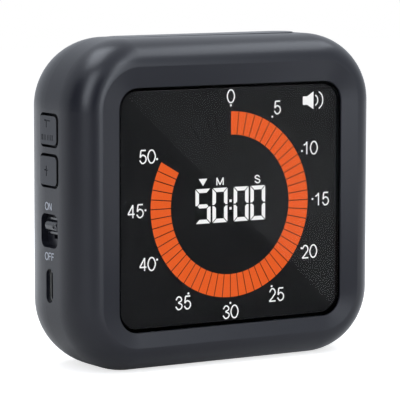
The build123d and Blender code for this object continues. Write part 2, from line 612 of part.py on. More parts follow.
# ------------------------------------------------------------------ display tray, light and flex
def display_frame():
    corner = WINDOW_CORNER - LEDGE_WIDTH - LCD_GAP
    tray = slab(
        RectangleRounded(TRAY_WIDTH, TRAY_HEIGHT, corner + TRAY_WALL), TRAY_FRONT_Y, TRAY_BACK_Y,
        z=WINDOW_Z,
    )
    tray -= slab(
        RectangleRounded(LCD_WIDTH + 2 * LCD_GAP, LCD_HEIGHT + 2 * LCD_GAP, corner + LCD_GAP),
        TRAY_FRONT_Y, LCD_BACK_Y, z=WINDOW_Z,
    )
    light_room = Rectangle(LIGHT_WIDTH + 2 * LIGHT_GUIDE_GAP, LIGHT_HEIGHT + 2 * LIGHT_GUIDE_GAP)
    tray -= slab(light_room, TRAY_FRONT_Y, TRAY_FLOOR_Y, z=WINDOW_Z)
    notch_top = LCD_BOTTOM_Z + LCD_GAP
    tray -= block(
        -FLEX_CONNECTOR_WIDTH / 2, FLEX_CONNECTOR_WIDTH / 2, TRAY_FRONT_Y, TRAY_BACK_Y,
        notch_top - 2 * TRAY_WALL, notch_top,
    )
    for x, _, z in ear_places(0):
        inner_x = math.copysign(TRAY_WIDTH / 2 - TRAY_WALL / 2, x)
        arm = block(
            min(x, inner_x), max(x, inner_x), TRAY_BACK_Y - EAR_THICKNESS, TRAY_BACK_Y,
            z - EAR_RADIUS, z + EAR_RADIUS,
        )
        ear = rod((x, 0, z), EAR_RADIUS, TRAY_BACK_Y - EAR_THICKNESS, TRAY_BACK_Y) + arm
        hole = rod((x, 0, z), SMALL_SCREW_RADIUS + SCREW_BITE, TRAY_BACK_Y - EAR_THICKNESS, TRAY_BACK_Y)
        tray += ear - hole
    for place in post_places(0):
        post = rod(place, POST_RADIUS, TRAY_BACK_Y - TRAY_FLOOR / 2, BOARD_FRONT_Y)
        tray += post
        tray -= rod(place, PILOT_RADIUS, TRAY_BACK_Y, BOARD_FRONT_Y)
    return tray


def backlight():
    """Light guide, white reflector behind it, and the strip of LEDs under its lower edge."""
    guide_low = WINDOW_Z - LIGHT_HEIGHT / 2 + LED_HEIGHT + BACKLIGHT_STRIP_THICKNESS + LIGHT_GUIDE_GAP
    guide_high = WINDOW_Z + LIGHT_HEIGHT / 2
    half = LIGHT_WIDTH / 2
    guide = block(-half, half, GUIDE_PLATE_FRONT_Y, GUIDE_PLATE_BACK_Y, guide_low, guide_high)
    low = WINDOW_Z - LIGHT_HEIGHT / 2
    reflector = block(-half, half, GUIDE_PLATE_BACK_Y, TRAY_FLOOR_Y, low, guide_high)
    strip_top = low + BACKLIGHT_STRIP_THICKNESS
    strip = [block(-half, half, GUIDE_PLATE_FRONT_Y, GUIDE_PLATE_BACK_Y, low, strip_top)]
    middle_y = (GUIDE_PLATE_FRONT_Y + GUIDE_PLATE_BACK_Y) / 2
    for index in range(LED_COUNT):
        x = LIGHT_WIDTH * ((index + 0.5) / LED_COUNT - 0.5)
        strip.append(
            block(
                x - LED_WIDTH / 2, x + LED_WIDTH / 2, middle_y - LED_DEPTH, middle_y + LED_DEPTH,
                strip_top, strip_top + LED_HEIGHT,
            )
        )
    return guide, reflector, strip


def lcd_flex():
    """Ribbon from the LCD's lower edge, back under the tray and up into its connector."""
    level = LCD_BOTTOM_Z - FLEX_THICKNESS
    rise_y = BOARD_FRONT_Y - FLEX_CONNECTOR_THICKNESS / 2
    connector_z = BODY_Z - BOARD_HEIGHT / 2 + 1
    path = FilletPolyline(
        (0, LCD_FRONT_Y + LCD_THICKNESS / 2, level), (0, rise_y, level), (0, rise_y, connector_z),
        radius=FLEX_BEND,
    )
    section = Plane(origin=path @ 0, x_dir=(1, 0, 0), z_dir=(0, 1, 0)) * Rectangle(
        FLEX_WIDTH, FLEX_THICKNESS
    )
    ribbon = sweep(section, path=path)
    connector = block(
        -FLEX_CONNECTOR_WIDTH / 2, FLEX_CONNECTOR_WIDTH / 2,
        BOARD_FRONT_Y - FLEX_CONNECTOR_THICKNESS, BOARD_FRONT_Y,
        connector_z, connector_z + FLEX_CONNECTOR_HEIGHT,
    )
    return ribbon, connector


# ------------------------------------------------------------------ keys, knob and start bar
def side_key(z):
    """Key cap that follows the side's crown, with a flange behind the wall."""
    cap = RectangleRounded(KEY_WIDTH - 2 * KEY_GAP, KEY_HEIGHT - 2 * KEY_END_GAP, KEY_CORNER)
    key = side_slab(cap, SIDE_X - 1, KEY_BACK_X, z) & pillow(-KEY_PROUD)
    flange = RectangleRounded(KEY_WIDTH + 2 * KEY_FLANGE, KEY_HEIGHT + 2 * KEY_FLANGE, KEY_CORNER)
    return key + side_slab(flange, KEY_FLANGE_X, KEY_BACK_X, z)


def power_switch_knob():
    """Barrel grip on a thin plate, with a forked stem through the pocket's floor."""
    plate_back = POCKET_X - KNOB_PLATE_GAP
    plate_front = plate_back - KNOB_PLATE_THICKNESS
    plate = RectangleRounded(KNOB_PLATE_WIDTH, KNOB_PLATE_HEIGHT, KNOB_PLATE_HEIGHT / 4)
    knob = side_slab(plate, plate_front, plate_back, KNOB_Z)
    barrel_x = SIDE_X + KNOB_RECESS + KNOB_BARREL_RADIUS
    barrel = Rot(90, 0, 0) * Cylinder(KNOB_BARREL_RADIUS, KNOB_BARREL_LENGTH)
    barrel = fillet(barrel.edges().filter_by(GeomType.CIRCLE), KNOB_BARREL_END)
    barrel = Pos(barrel_x, FEATURE_Y, KNOB_Z) * barrel
    dimple_x = SIDE_X + KNOB_RECESS + KNOB_DIMPLE_DEPTH - KNOB_DIMPLE_RADIUS
    barrel -= Pos(dimple_x, FEATURE_Y - KNOB_DIMPLE_FORWARD, KNOB_Z) * Sphere(KNOB_DIMPLE_RADIUS)
    barrel &= side_slab(Rectangle(BODY_DEPTH, BODY_HEIGHT), SIDE_X, plate_back, KNOB_Z)
    knob += barrel
    stem_back = BOARD_LEFT_X + 0.4
    stem = side_slab(Rectangle(KNOB_STEM, KNOB_STEM), plate_back, stem_back, KNOB_Z)
    fork = Rectangle(LEVER + 2 * LEVER_GAP, LEVER + 2 * LEVER_GAP)
    return knob + stem - side_slab(fork, POCKET_BACK_X, stem_back, KNOB_Z)


def slide_switch():
    """Metal case on the board with a slot, and the lever that the knob carries."""
    case_x = BOARD_LEFT_X + 1.2
    half = SLIDE_CASE_LENGTH / 2
    thickness = BOARD_FRONT_Y - FEATURE_Y
    case = block(
        case_x, case_x + SLIDE_CASE_DEPTH, FEATURE_Y - thickness, BOARD_FRONT_Y,
        POCKET_Z - half, POCKET_Z + half,
    )
    slot_half = (KNOB_TRAVEL + LEVER) / 2 + SLOT_GAP
    side = LEVER / 2 + SLOT_GAP
    case -= block(
        case_x, case_x + SLIDE_CASE_DEPTH - SLIDE_CASE_WALL, FEATURE_Y - side, FEATURE_Y + side,
        POCKET_Z - slot_half, POCKET_Z + slot_half,
    )
    lever = block(
        POCKET_BACK_X + LEVER_GAP, case_x + SLIDE_CASE_DEPTH / 2,
        FEATURE_Y - LEVER / 2, FEATURE_Y + LEVER / 2, KNOB_Z - LEVER / 2, KNOB_Z + LEVER / 2,
    )
    return case, lever


def start_bar():
    """Long button, a little higher at its right end, with a flange behind the wall, two guided
    stems and a post on its switch.
    """
    half = BAR_LENGTH / 2
    side_view = Polyline(
        (-half, BAR_FLANGE_Z), (half, BAR_FLANGE_Z), (half, CROWN_Z + BAR_PROUD_RIGHT),
        (-half, CROWN_Z + BAR_PROUD_LEFT), close=True,
    )
    bar = flat_slab(SlotOverall(BAR_LENGTH, BAR_WIDTH), BAR_FLANGE_Z, CROWN_Z + WALL)
    bar &= slab(make_face(side_view), FEATURE_Y - BAR_WIDTH, FEATURE_Y + BAR_WIDTH)
    bar = fillet(bar.faces().sort_by(Axis.Z)[-1].edges(), BAR_EDGE)
    flange = SlotOverall(BAR_LENGTH + 2 * BAR_FLANGE, BAR_WIDTH + 2 * BAR_FLANGE)
    bar += flat_slab(flange, BAR_FLANGE_Z, BAR_FLANGE_TOP_Z)
    for x in (-BAR_STEM_PITCH / 2, BAR_STEM_PITCH / 2):
        bar += flat_slab(Rectangle(BAR_STEM, BAR_STEM), BAR_FLANGE_Z - BAR_STEM_LENGTH, BAR_FLANGE_Z, x=x)
    return bar + flat_slab(Circle(BAR_POST_RADIUS), BAR_POST_Z, BAR_FLANGE_Z)


def start_bar_guide():
    plate = flat_slab(RectangleRounded(GUIDE_LENGTH, GUIDE_WIDTH, GUIDE_WIDTH / 3), GUIDE_Z, GUIDE_TOP_Z)
    stem_hole = BAR_STEM + 2 * GUIDE_CLEARANCE
    for x in (-BAR_STEM_PITCH / 2, BAR_STEM_PITCH / 2):
        plate -= flat_slab(Rectangle(stem_hole, stem_hole), GUIDE_Z, GUIDE_TOP_Z, x=x)
    plate -= flat_slab(Circle(BAR_POST_RADIUS + GUIDE_CLEARANCE), GUIDE_Z, GUIDE_TOP_Z)
    for x in (-GUIDE_SCREW_PITCH / 2, GUIDE_SCREW_PITCH / 2):
        plate -= flat_slab(Circle(SMALL_SCREW_RADIUS), GUIDE_Z, GUIDE_TOP_Z, x=x)
    return plate


# ------------------------------------------------------------------ board, socket, battery
def main_board():
    half_height = BOARD_HEIGHT / 2
    middle_x = (BOARD_LEFT_X + BOARD_RIGHT_X) / 2
    board = slab(
        RectangleRounded(BOARD_RIGHT_X - BOARD_LEFT_X, BOARD_HEIGHT, BOARD_CORNER),
        BOARD_FRONT_Y, BOARD_BACK_Y, x=middle_x, z=BODY_Z,
    )
    half_tongue = BOARD_TONGUE_WIDTH / 2
    board += block(
        -half_tongue, half_tongue, BOARD_FRONT_Y, BOARD_BACK_Y, BODY_Z + half_height - 1, BOARD_TOP_Z
    )
    for place in post_places(0):
        board -= rod(place, SMALL_SCREW_RADIUS, BOARD_FRONT_Y, BOARD_BACK_Y)
    return board


def usb_socket():
    """Oval drawn-metal shell, open to the left, and the contact tongue in it."""
    back_x = USB_MOUTH_X + USB_SHELL_DEPTH
    shell = side_slab(
        SlotOverall(USB_SHELL_LENGTH, USB_SHELL_WIDTH, rotation=90), USB_MOUTH_X, back_x, USB_Z
    )
    bore = SlotOverall(
        USB_SHELL_LENGTH - 2 * USB_SHELL_WALL, USB_SHELL_WIDTH - 2 * USB_SHELL_WALL, rotation=90
    )
    shell -= side_slab(bore, USB_MOUTH_X, back_x - USB_SHELL_WALL, USB_Z)
    tongue = side_slab(
        Rectangle(USB_TONGUE_THICKNESS, USB_TONGUE_LENGTH),
        USB_MOUTH_X + USB_TONGUE_BACK, back_x - USB_SHELL_WALL, USB_Z,
    )
    return shell, tongue


def battery():
    """Pouch cell stuck to the back of the board, and its two leads."""
    pouch = block(
        BATTERY_X - BATTERY_WIDTH / 2, BATTERY_X + BATTERY_WIDTH / 2,
        BATTERY_FRONT_Y, BATTERY_FRONT_Y + BATTERY_THICKNESS,
        BODY_Z - BATTERY_HEIGHT / 2, BODY_Z + BATTERY_HEIGHT / 2,
    )
    pouch = fillet(pouch.edges().filter_by(Axis.Z), BATTERY_EDGE)
    tape = block(
        BATTERY_X - BATTERY_WIDTH / 3, BATTERY_X + BATTERY_WIDTH / 3,
        BOARD_BACK_Y, BATTERY_FRONT_Y, BODY_Z - BATTERY_HEIGHT / 3, BODY_Z + BATTERY_HEIGHT / 3,
    )
    start_z = BODY_Z + BATTERY_HEIGHT / 2
    middle_y = BATTERY_FRONT_Y + BATTERY_THICKNESS / 2
    leads = []
    for index in (0, 1):
        x = BATTERY_X + BATTERY_WIDTH / 4 + index * 4 * LEAD_RADIUS
        rise = start_z + 5 + index * 2
        points = [(x, middle_y, start_z), (x, middle_y, rise), (x, BOARD_BACK_Y, rise)]
        leads.append(lead(points, LEAD_BEND))
    return pouch, tape, leads


def controller_chip():
    half = CHIP_SIZE / 2
    return block(
        CHIP_X - half, CHIP_X + half, BOARD_BACK_Y, BOARD_BACK_Y + CHIP_THICKNESS,
        BODY_Z - half, BODY_Z + half,
    )


# ------------------------------------------------------------------ speaker and rear cover
def speaker():
    """Small round speaker, magnet to the front, its foam gasket and its leads."""
    rim_front = SPEAKER_BACK_Y - SPEAKER_RIM
    place = (SPEAKER_X, 0, BODY_Z)
    body = rod(place, SPEAKER_RADIUS, rim_front, SPEAKER_BACK_Y)
    body += rod(place, SPEAKER_MAGNET_RADIUS, SPEAKER_BACK_Y - SPEAKER_DEPTH, rim_front)
    ring = Circle(SPEAKER_RADIUS) - Circle(SPEAKER_RADIUS - GASKET_WIDTH)
    gasket = slab(ring, SPEAKER_BACK_Y, COVER_INNER_Y, x=SPEAKER_X, z=BODY_Z)
    leads = []
    for side in (-1, 1):
        x = SPEAKER_X + side * 2 * LEAD_RADIUS
        start = BODY_Z + (SPEAKER_RADIUS + SPEAKER_MAGNET_RADIUS) / 2
        rise = BODY_Z + BATTERY_HEIGHT / 2 + LEAD_BEND
        y = COVER_INNER_Y - SPEAKER_WELL_DEPTH - 2 * LEAD_RADIUS
        points = [(x, rim_front, start), (x, y, start), (x, y, rise), (x, BOARD_BACK_Y, rise)]
        leads.append(lead(points, [1.4 * LEAD_RADIUS * 2, LEAD_BEND]))
    return body, gasket, leads


def grille_places():
    """Concentric rings of sound holes round a middle one."""
    places = [(0.0, 0.0)]
    for ring in range(1, GRILLE_RINGS + 1):
        for index in range(6 * ring):
            angle = math.radians(360 * index / (6 * ring))
            radius = ring * GRILLE_RING_STEP
            places.append((radius * math.cos(angle), radius * math.sin(angle)))
    return places


def rear_cover():
    cover = slab(
        RectangleRounded(COVER_WIDTH, COVER_HEIGHT, COVER_CORNER), COVER_INNER_Y, REAR_Y, z=BODY_Z
    )
    cover = fillet(cover.faces().sort_by(Axis.Y)[-1].outer_wire().edges(), COVER_EDGE)
    rib_x = COVER_WIDTH / 2 - COVER_SEAT_WIDTH - COVER_GAP - COVER_RIB_WIDTH / 2
    rib_z = COVER_HEIGHT / 2 - COVER_SEAT_WIDTH - COVER_GAP - COVER_RIB_WIDTH / 2
    for side in (-1, 1):
        upright = Rectangle(COVER_RIB_WIDTH, COVER_RIB_LENGTH)
        level = Rectangle(COVER_RIB_LENGTH, COVER_RIB_WIDTH)
        cover += slab(upright, COVER_INNER_Y - COVER_RIB_HEIGHT, COVER_INNER_Y, x=side * rib_x, z=BODY_Z)
        cover += slab(level, COVER_INNER_Y - COVER_RIB_HEIGHT, COVER_INNER_Y, z=BODY_Z + side * rib_z)
    well = Circle(SPEAKER_RADIUS + SPEAKER_GAP + SPEAKER_WELL_WALL) - Circle(SPEAKER_RADIUS + SPEAKER_GAP)
    cover += slab(well, COVER_INNER_Y - SPEAKER_WELL_DEPTH, COVER_INNER_Y, x=SPEAKER_X, z=BODY_Z)
    for place in cover_screw_places(0):
        cover -= rod(place, COVER_HOLE_RADIUS, COVER_INNER_Y, REAR_Y)
        cover -= rod(place, COVER_SINK_RADIUS, REAR_Y - COVER_SINK, REAR_Y)
    holes = [Pos(x, z) * Circle(GRILLE_HOLE_RADIUS) for x, z in grille_places()]
    return cover - slab(Sketch() + holes, COVER_INNER_Y, REAR_Y, x=SPEAKER_X, z=BODY_Z)


# ------------------------------------------------------------------ the whole timer
def build_parts():
    lit, unlit = ring_segments()
    digits, dark_digits = time_digits()
    guide, reflector, strip = backlight()
    ribbon, connector = lcd_flex()
    case, lever = slide_switch()
    shell, tongue = usb_socket()
    pouch, tape, battery_leads = battery()
    speaker_body, gasket, speaker_leads = speaker()
    guide_screw_places = [
        (x, FEATURE_Y, GUIDE_Z) for x in (-GUIDE_SCREW_PITCH / 2, GUIDE_SCREW_PITCH / 2)
    ]
    return {
        "front_housing": front_housing(),
        "front_window": front_window(),
        "window_tape": window_tape(),
        "lcd_cell": lcd_cell(),
        "lcd_ring_lit": lit,
        "lcd_ring_unlit": unlit,
        "lcd_time_lit": digits,
        "lcd_time_unlit": dark_digits,
        "display_frame": display_frame(),
        "display_frame_screws": small_screws(ear_places(TRAY_BACK_Y), (0, -1, 0)),
        "light_guide": guide,
        "light_reflector": reflector,
        "backlight_strip": strip,
        "lcd_flex": ribbon,
        "lcd_flex_connector": connector,
        "main_board": main_board(),
        "main_board_screws": small_screws(post_places(BOARD_BACK_Y), (0, -1, 0)),
        "controller_chip": controller_chip(),
        "edit_tact_switch": tact_switch(KEY_Z["edit_key"], TACT_TIP_X, -1),
        "adjust_tact_switch": tact_switch(KEY_Z["adjust_key"], TACT_TIP_X, -1),
        "start_tact_switch": tact_switch(None, START_TIP_Z, 1),
        "power_switch_case": case,
        "power_switch_lever": lever,
        "power_switch_knob": power_switch_knob(),
        "usb_c_shell": shell,
        "usb_c_tongue": tongue,
        "edit_key": side_key(KEY_Z["edit_key"]),
        "adjust_key": side_key(KEY_Z["adjust_key"]),
        "start_bar": start_bar(),
        "start_bar_guide": start_bar_guide(),
        "start_bar_guide_screws": small_screws(guide_screw_places, (0, 0, 1), GUIDE_SCREW_LENGTH),
        "battery_cell": pouch,
        "battery_tape": tape,
        "battery_leads": battery_leads,
        "speaker": speaker_body,
        "speaker_gasket": gasket,
        "speaker_leads": speaker_leads,
        "rear_cover": rear_cover(),
        "rear_cover_screws": screws(
            cover_screw_places(REAR_Y - COVER_SINK), (0, -1, 0), COVER_SCREW_RADIUS, COVER_SCREW_LENGTH,
            COVER_SCREW_HEAD_RADIUS, COVER_SCREW_HEAD,
        ),
    }


def main():
    os.makedirs("parts", exist_ok=True)
    for name, shape in build_parts().items():
        solid = Compound(children=list(shape)) if isinstance(shape, list) else shape
        solid.label = name
        export_step(solid, f"parts/{name}.step")


main()
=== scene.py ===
import math

import bpy
from mathutils import Matrix, Vector


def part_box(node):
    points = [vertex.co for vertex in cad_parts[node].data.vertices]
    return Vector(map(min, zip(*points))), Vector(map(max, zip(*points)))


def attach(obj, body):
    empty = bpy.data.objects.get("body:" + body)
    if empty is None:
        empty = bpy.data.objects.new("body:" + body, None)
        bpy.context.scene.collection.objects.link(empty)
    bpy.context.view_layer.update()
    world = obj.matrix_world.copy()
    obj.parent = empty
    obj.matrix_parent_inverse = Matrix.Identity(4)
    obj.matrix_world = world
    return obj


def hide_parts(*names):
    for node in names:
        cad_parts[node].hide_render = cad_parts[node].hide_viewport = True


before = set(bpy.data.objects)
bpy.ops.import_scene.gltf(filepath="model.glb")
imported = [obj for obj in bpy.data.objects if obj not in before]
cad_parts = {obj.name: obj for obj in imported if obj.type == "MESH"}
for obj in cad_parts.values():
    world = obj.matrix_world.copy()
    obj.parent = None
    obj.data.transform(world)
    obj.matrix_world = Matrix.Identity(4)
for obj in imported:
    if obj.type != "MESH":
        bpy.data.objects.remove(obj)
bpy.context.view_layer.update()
bpy.ops.object.select_all(action="DESELECT")

MM = 0.001

# ------------------------------------------------------------------ camera
CAMERA_PLACE = (-391.9, -620.1, 122.5)       # mm
CAMERA_AZIMUTH = -32.261                     # degrees, towards the left side
CAMERA_ELEVATION = 6.134
CAMERA_ROLL = 0.076
CAMERA_LENS = 239.88                         # mm
CAMERA_SENSOR = 36
CAMERA_CLIP = 0.01                           # metres

# ------------------------------------------------------------------ floor, room and lights, metres
MIDDLE = Vector((0, 0, 0.045))               # what the softboxes look at
DAYLIGHT = (0.87, 0.92, 1.0)                 # the softboxes, and room and floor in mirror reflections
SOFTBOXES = {                                # azimuth, elevation, distance, width and height, radiance
    "left_softbox": (-69, 30, 0.6, (0.22, 0.52), 3.6),
    "front_softbox": (9, 20, 0.6, (0.17, 0.6), 4.3),
    "right_softbox": (60, 59, 0.7, (1.0, 0.24), 2.8),
    "fill_softbox": (23, 5, 0.7, (0.1, 0.3), 1.6),
    "rear_softbox": (-147, 66, 0.7, (0.45, 0.28), 4.1),
}
STANDING_FLAGS = {                           # azimuth, distance, width, height
    "left_flag": (-100, 1.1, 0.75, 0.95),
    "camera_flag": (-30, 1.1, 0.5, 0.9),
}
FLAG_LIFT = 0.0005                           # the card that lies on the floor, above it
FLOOR_SIZE = 3.0
FLOOR_SEEN = 0.7                             # glow of the paper where it is seen straight ...
FLOOR_MIRRORED = 0.68                        # ... and at most in mirror reflections
BRIGHT_SIDES = ((1, 0.35, 0), (0.5, 0.9, 0))    # towards the right and the back the mirrored glow grows ...
GLOW_START, GLOW_FULL = -0.03, 0.16          # ... from none here to all of it here
ROOM_SEEN = 1.0                              # strength where it is seen straight, ...
ROOM_MIRRORED = 0.84                         # ... in mirror reflections ...
ROOM_LIGHT = 0.45                            # ... and as light on the timer

# ------------------------------------------------------------------ the display's film
FILM_MIRROR = 0.024                          # specular level
FILM_TINT = (1.0, 0.95, 0.9, 1.0)            # of the mirror image
FILM_ROUGHNESS = 0.03

# ------------------------------------------------------------------ printing on the display, mm
DOT_RADIUS = 0.3
DOT_SIDES = 20
DOT_RING_RADIUS = 27.05
NUMBER_HEIGHT = 3.85
NUMBER_STROKE = 0.38
NUMBER_ABOVE = 2.45          # a number above or below its dot: this far from it ...
NUMBER_LEAN = 3.3            # ... and this far sideways, times the sine of its angle
NUMBER_BESIDE = 3.05         # a number left or right of its dot; on the right times the sine of its angle
NUMBER_LIFT = 1.82           # ... and this far up, times the cosine of its angle ...
NUMBER_DROP = 0.15           # ... less this
LETTER_HEIGHT = 2.36
LETTER_STROKE = 0.34
LETTER_M_X = -3.44
LETTER_S_X = 8.7
LETTER_Z = 6.5
MARK_X = -8.9
MARK_WIDTH = 2.73
MARK_HEIGHT = 1.96
SOUND_X = 25.4
SOUND_Z = 27.43
SOUND_WIDTH = 3.54
SOUND_HEIGHT = 4.9
SOUND_NECK = 0.42            # share of the width that is the narrow part ...
SOUND_NARROW = 0.24          # ... and half its height, as a share of the height
ARC_STROKE = 0.36
ARCS = ((0.62, 0.84, 2.85), (1.83, 1.3, 4.7))    # each arc's distance from the cone, width and height
PRINT_THICKNESS = 0.05

# ------------------------------------------------------------------ printing and marks on the side, mm
SIDE_LETTER_HEIGHT = 2.2
SIDE_LETTER_STROKE = 0.3
ON_X, ON_Z = -0.5, 44.65     # x from the knob's middle, towards the front; z from the floor
OFF_X, OFF_Z = 0.05, 31.15
SOCKET_WALL = 0.3
SOCKET_RIM = 0.25            # depth of the rim left in plain tin colour; deeper in, the bore is painted dark as shade
KEY_MARK_STROKE = 0.34
KEY_MARK_DEPTH = 0.22
KEY_FACE_NORMAL = -0.8       # a key's polygons that face left this much are its face, the others its skirt, painted near black as shade
KEY_SMOOTH_ANGLE = 30        # degrees
MERGE_DISTANCE = 1e-6        # metres


# ------------------------------------------------------------------ materials
def linear(hex_colour):
    """sRGB hex to the linear colour that a shader takes."""
    parts = [int(hex_colour[i : i + 2], 16) / 255 for i in (1, 3, 5)]
    return [p / 12.92 if p <= 0.04045 else ((p + 0.055) / 1.055) ** 2.4 for p in parts] + [1.0]


def dimmed(hex_colour, share):
    """The same, with this share of its light."""
    return [part * share for part in linear(hex_colour)[:3]] + [1.0]


def add(tree, kind, settings=None, **inputs):
    """A node with its settings, and its inputs by name or as i and their number, as values or links."""
    node = tree.nodes.new("ShaderNode" + kind)
    for name, value in (settings or {}).items():
        setattr(node, name, value)
    for name, value in inputs.items():
        socket = node.inputs[int(name[1:]) if name[1:].isdigit() else name.replace("_", " ")]
        if isinstance(value, bpy.types.NodeSocket):
            tree.links.new(value, socket)
        else:
            socket.default_value = value
    return node


def material(name):
    """A new material, its node tree, its shader and the place on the piece."""
    made = bpy.data.materials.new(name)
    made.use_nodes = True
    tree = made.node_tree
    shader = tree.nodes["Principled BSDF"]
    place = tree.nodes.new("ShaderNodeTexCoord").outputs["Object"]
    return made, tree, shader, place


def set_shader(shader, **values):
    for name, value in values.items():
        shader.inputs[name.replace("_", " ")].default_value = value


def grain(tree, shader, place, size_mm, height_mm, detail=2.0):
    """Fine pits or pebbles of one size, as bump."""
    noise = add(tree, "TexNoise", Vector=place, Scale=1 / (size_mm * MM), Detail=detail)
    bump = add(tree, "Bump", Height=noise.outputs["Fac"], Distance=height_mm * MM, Strength=1.0)
    tree.links.new(bump.outputs["Normal"], shader.inputs["Normal"])
    return noise.outputs["Fac"]


def mottle(tree, shader, place, dark, light, size_mm):
    """Slow change between two close colours."""
    noise = add(tree, "TexNoise", Vector=place, Scale=1 / (size_mm * MM), Detail=4.0)
    pattern = noise.outputs["Fac"]
    mix = add(tree, "Mix", {"data_type": "RGBA"}, Factor=pattern, i6=linear(dark), i7=linear(light))
    tree.links.new(mix.outputs[2], shader.inputs["Base Color"])
    return pattern


def vary_roughness(tree, shader, pattern, low, high):
    ramp = add(tree, "MapRange", Value=pattern, To_Min=low, To_Max=high)
    tree.links.new(ramp.outputs["Result"], shader.inputs["Roughness"])


def satin_abs(name, dark, light, low, high, specular=0.41):
    """ABS moulded in a spark-eroded tool: dark, with a dull sheen broken up by a very fine grain."""
    made, tree, shader, place = material(name)
    mottle(tree, shader, place, dark, light, size_mm=9.0)
    pits = grain(tree, shader, place, size_mm=0.42, height_mm=0.012)
    vary_roughness(tree, shader, pits, low, high)
    set_shader(shader, IOR=1.5, Specular_IOR_Level=specular)
    return made


def coated_acrylic():
    """Cast acrylic with an anti-reflection coat: clear, and seen straight on it mirrors nothing."""
    made, tree, shader, place = material("coated_acrylic")
    set_shader(shader, Transmission_Weight=1.0, IOR=1.49, Specular_Tint=(0.0, 0.0, 0.0, 1.0))
    set_shader(shader, Base_Color=linear("#FCFCFC"))
    smear = add(tree, "TexNoise", Vector=place, Scale=1 / (14 * MM), Detail=3.0)
    vary_roughness(tree, shader, smear.outputs["Fac"], 0.0, 0.004)
    return made


def display_black():
    """Black polariser film on glass: near black, with a weak but sharp mirror image."""
    made, tree, shader, place = material("polariser_black")
    uneven = mottle(tree, shader, place, "#222222", "#252525", size_mm=20.0)
    vary_roughness(tree, shader, uneven, FILM_ROUGHNESS - 0.01, FILM_ROUGHNESS)
    set_shader(shader, Specular_IOR_Level=FILM_MIRROR, Specular_Tint=FILM_TINT)
    return made


def dark_segment():
    """Unlit segment: the same film, hardly lighter than the black round it."""
    made, tree, shader, place = material("unlit_segment_film")
    mottle(tree, shader, place, "#232323", "#262626", size_mm=3.0)
    set_shader(shader, Roughness=FILM_ROUGHNESS)
    set_shader(shader, Specular_IOR_Level=FILM_MIRROR, Specular_Tint=FILM_TINT)
    return made


def lit_segment(name, colour, strength):
    """Segment lit from behind: its light is even, with the faint cell pattern of the film over it."""
    made, tree, shader, place = material(name)
    set_shader(shader, Base_Color=linear("#050505"), Emission_Strength=strength, Roughness=0.5)
    set_shader(shader, Specular_IOR_Level=0.05)
    cells = add(tree, "TexNoise", Vector=place, Scale=1 / (3 * MM), Detail=2.0).outputs["Fac"]
    mix = add(tree, "Mix", {"data_type": "RGBA"}, Factor=cells, i6=dimmed(colour, 0.97), i7=linear(colour))
    tree.links.new(mix.outputs[2], shader.inputs["Emission Color"])
    return made


def plain_moulding(name, dark, light, roughness, grain_mm, height_mm):
    """Small or inner moulding in one colour, with the grain of its tool."""
    made, tree, shader, place = material(name)
    mottle(tree, shader, place, dark, light, size_mm=5.0)
    pits = grain(tree, shader, place, grain_mm, height_mm)
    vary_roughness(tree, shader, pits, roughness - 0.05, roughness + 0.05)
    return made


def drawn_steel(name, colour, roughness):
    """Plated sheet or wire drawn to shape: bright, with fine lines along the draw."""
    made, tree, shader, place = material(name)
    stretch = add(tree, "Mapping", Vector=place)
    stretch.inputs["Scale"].default_value = (0.08, 1.0, 1.0)
    lines = grain(tree, shader, stretch.outputs["Vector"], size_mm=0.12, height_mm=0.002, detail=4.0)
    vary_roughness(tree, shader, lines, roughness - 0.08, roughness + 0.08)
    set_shader(shader, Base_Color=linear(colour), Metallic=1.0)
    return made


def socket_steel():
    """Tin-plated shell of the charging socket: bright at its rim, with painted shade darkening its bore."""
    # The dark colour is painted shade for the socket's bore.
    bright, painted_bore_shade = "#F0EFEA", "#26262A"
    made = drawn_steel("drawn_tinned_shell_painted_bore_shade", bright, 0.5)
    tree = made.node_tree
    shader = tree.nodes["Principled BSDF"]
    place = tree.nodes["Texture Coordinate"].outputs["Object"]
    low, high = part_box("usb_c_shell")
    straight = (high.z - low.z - high.y + low.y) / 2
    from_middle = add(tree, "VectorMath", {"operation": "SUBTRACT"}, i0=place, i1=(low + high) / 2)
    off = add(tree, "VectorMath", {"operation": "ABSOLUTE"}, i0=from_middle.outputs[0])
    past = add(tree, "VectorMath", {"operation": "SUBTRACT"}, i0=off.outputs[0], i1=(1, 0, straight))
    round_end = add(tree, "VectorMath", {"operation": "MAXIMUM"}, i0=past.outputs[0], i1=(0, 0, 0))
    radius = add(tree, "VectorMath", {"operation": "LENGTH"}, i0=round_end.outputs[0])
    bore = (high.y - low.y) / 2 - 0.5 * SOCKET_WALL * MM
    within = add(tree, "Math", {"operation": "LESS_THAN"}, i0=radius.outputs["Value"], i1=bore)
    depth = add(tree, "SeparateXYZ", Vector=place).outputs["X"]
    deep = add(tree, "Math", {"operation": "GREATER_THAN"}, i0=depth, i1=low.x + SOCKET_RIM * MM)
    # Mask of the painted shade: inside the bore and deeper than the rim.
    inside = add(tree, "Math", {"operation": "MULTIPLY"}, i0=within.outputs[0], i1=deep.outputs[0])
    mix = add(
        tree, "Mix", {"data_type": "RGBA"},
        Factor=inside.outputs[0], i6=linear(bright), i7=linear(painted_bore_shade),
    )
    tree.links.new(mix.outputs[2], shader.inputs["Base Color"])
    return made


def solder_mask():
    """Green mask over copper on glass-epoxy board: glossy, with the tracks as faint lighter lines."""
    made, tree, shader, place = material("solder_mask_green")
    tracks = add(
        tree, "TexBrick", {"offset": 0.3}, Vector=place, Scale=1 / (4 * MM), Mortar_Size=0.06,
        Color1=linear("#0E4A26"), Color2=linear("#125A2E"), Mortar=linear("#1B7A3E"),
    )
    tree.links.new(tracks.outputs["Color"], shader.inputs["Base Color"])
    grain(tree, shader, place, size_mm=0.6, height_mm=0.01)
    set_shader(shader, Roughness=0.25)
    return made


